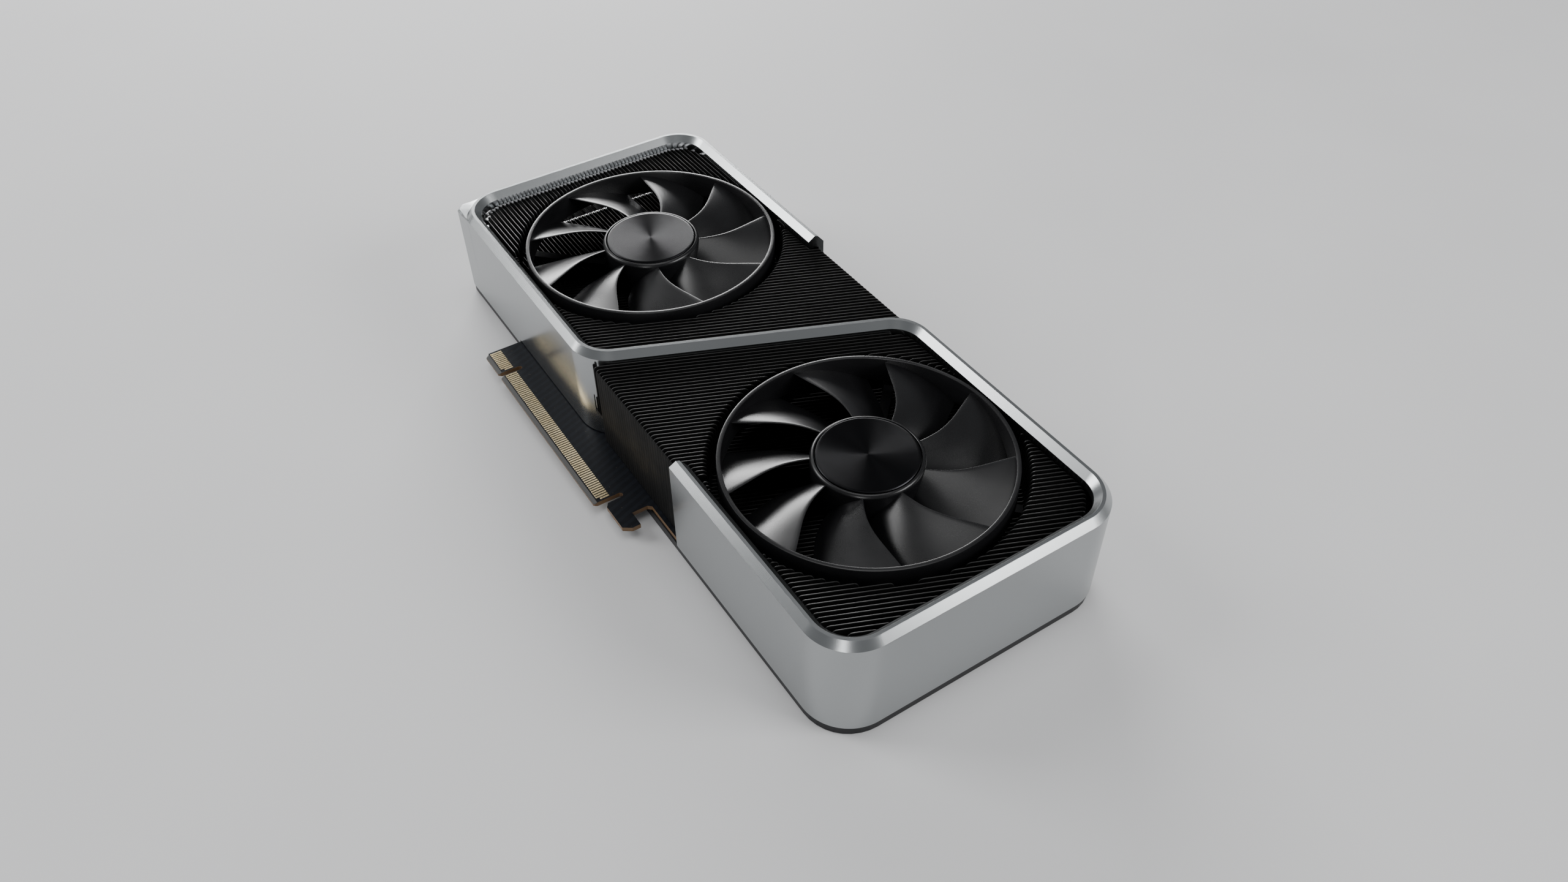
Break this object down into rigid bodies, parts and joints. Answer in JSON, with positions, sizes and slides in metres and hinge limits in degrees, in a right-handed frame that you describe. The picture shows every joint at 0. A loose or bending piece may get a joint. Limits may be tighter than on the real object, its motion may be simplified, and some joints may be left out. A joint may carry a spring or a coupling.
{
  "type": "graphics card",
  "caption": "Two-slot graphics card with a silver S-shaped frame, black cooling fins and fans that spin, lying on its back plate.",
  "frame": {"origin": "centre of the bounding box in plan, on the underside of the back plate", "axes": "+X along the card from the connector end to the far end, +Y from the slot contacts to the top side, +Z out of the fan side"},
  "size_m": [0.242, 0.1126, 0.0389],
  "materials": {
    "satin_silver": "fine bead-blasted satin, clear anodised",
    "black_anodised": "black anodised sheet",
    "black_plastic": "satin black moulding",
    "board_black": "black solder mask over glass-fibre board",
    "chip_black": "moulded chip package",
    "contact_gold": "gold plated",
    "copper": "bare copper",
    "steel": "plain zinc-plated steel",
    "nickel": "nickel plated shell",
    "inductor_grey": "pressed grey powder core",
    "silicon": "bare silicon, mirror smooth"
  },
  "bodies": {
    "card": {"frame": "satin_silver", "backplate": "black_anodised", "fin_stack_connector_end": "black_anodised", "fin_stack_middle": "black_anodised", "fin_stack_far_end": "black_anodised", "side_panel_contact_side": "black_anodised", "side_panel_top_side": "black_anodised", "power_socket": "black_plastic", "fan_header_a": "black_plastic", "fan_header_b": "black_plastic", "fan_a_mount": "black_plastic", "fan_b_mount": "black_plastic", "circuit_board": "board_black", "gpu_package": "chip_black", "memory_chip_1": "chip_black", "memory_chip_2": "chip_black", "memory_chip_3": "chip_black", "memory_chip_4": "chip_black", "memory_chip_5": "chip_black", "memory_chip_6": "chip_black", "memory_chip_7": "chip_black", "memory_chip_8": "chip_black", "contacts_short": "contact_gold", "contacts_long": "contact_gold", "cold_plate": "copper", "heat_pipe_1": "copper", "heat_pipe_2": "copper", "heat_pipe_3": "copper", "heat_pipe_4": "copper", "fan_a_stator": "copper", "fan_b_stator": "copper", "end_plate": "steel", "backplate_screw_1": "steel", "backplate_screw_2": "steel", "backplate_screw_3": "steel", "backplate_screw_4": "steel", "end_screw_1": "steel", "end_screw_2": "steel", "displayport_socket_1": "nickel", "displayport_socket_2": "nickel", "displayport_socket_3": "nickel", "hdmi_socket": "nickel", "fan_a_bearing_tube": "nickel", "fan_b_bearing_tube": "nickel", "inductor_1": "inductor_grey", "inductor_2": "inductor_grey", "inductor_3": "inductor_grey", "inductor_4": "inductor_grey", "inductor_5": "inductor_grey", "inductor_6": "inductor_grey", "gpu_die": "silicon"},
    "fan_a": {"fan_a_rotor": "black_plastic", "fan_a_cap": "black_anodised", "fan_a_magnet_ring": "chip_black", "fan_a_shaft": "steel"},
    "fan_b": {"fan_b_rotor": "black_plastic", "fan_b_cap": "black_anodised", "fan_b_magnet_ring": "chip_black", "fan_b_shaft": "steel"}
  },
  "joints": [
    {"name": "fan_a_spin", "type": "hinge", "parent": "card", "child": "fan_a", "pos_m": [-0.0637, 0.0071, 0.03], "axis": [0, 0, 1], "continuous": true},
    {"name": "fan_b_spin", "type": "hinge", "parent": "card", "child": "fan_b", "pos_m": [0.0651, 0.0073, 0.03], "axis": [0, 0, 1], "continuous": true}
  ]
}
